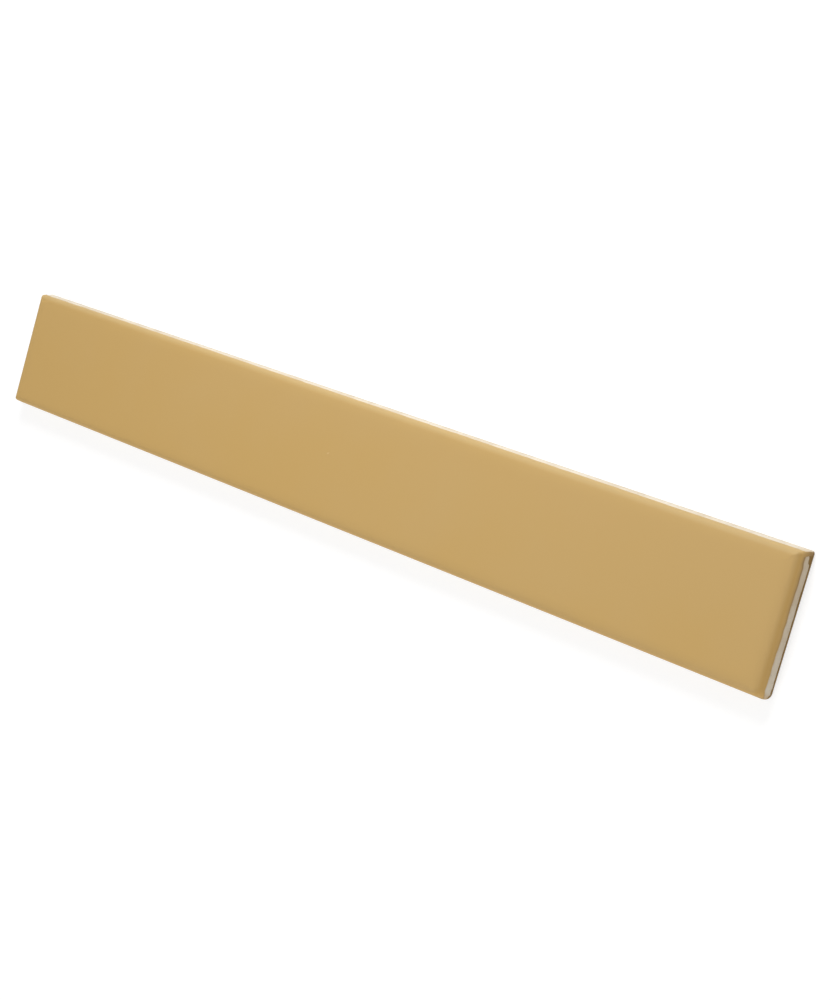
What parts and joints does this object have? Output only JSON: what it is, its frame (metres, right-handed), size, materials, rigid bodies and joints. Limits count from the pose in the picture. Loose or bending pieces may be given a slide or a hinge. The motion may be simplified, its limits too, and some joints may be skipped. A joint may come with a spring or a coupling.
{
  "type": "glazed wall tile",
  "caption": "Long stick-format glazed wall tile with leaning side walls, a softly rounded face edge and keying grooves along the back for adhesive.",
  "frame": {"origin": "middle of the back, on the plane that the tile lies on", "axes": "+X along the length, +Y across the width, +Z out of the glazed face"},
  "size_m": [0.4, 0.05, 0.008],
  "materials": {
    "glazed_clay": "matt ochre glaze over the face and the upper walls, bare cream clay below"
  },
  "bodies": {
    "root": {"tile": "glazed_clay"}
  },
  "joints": []
}
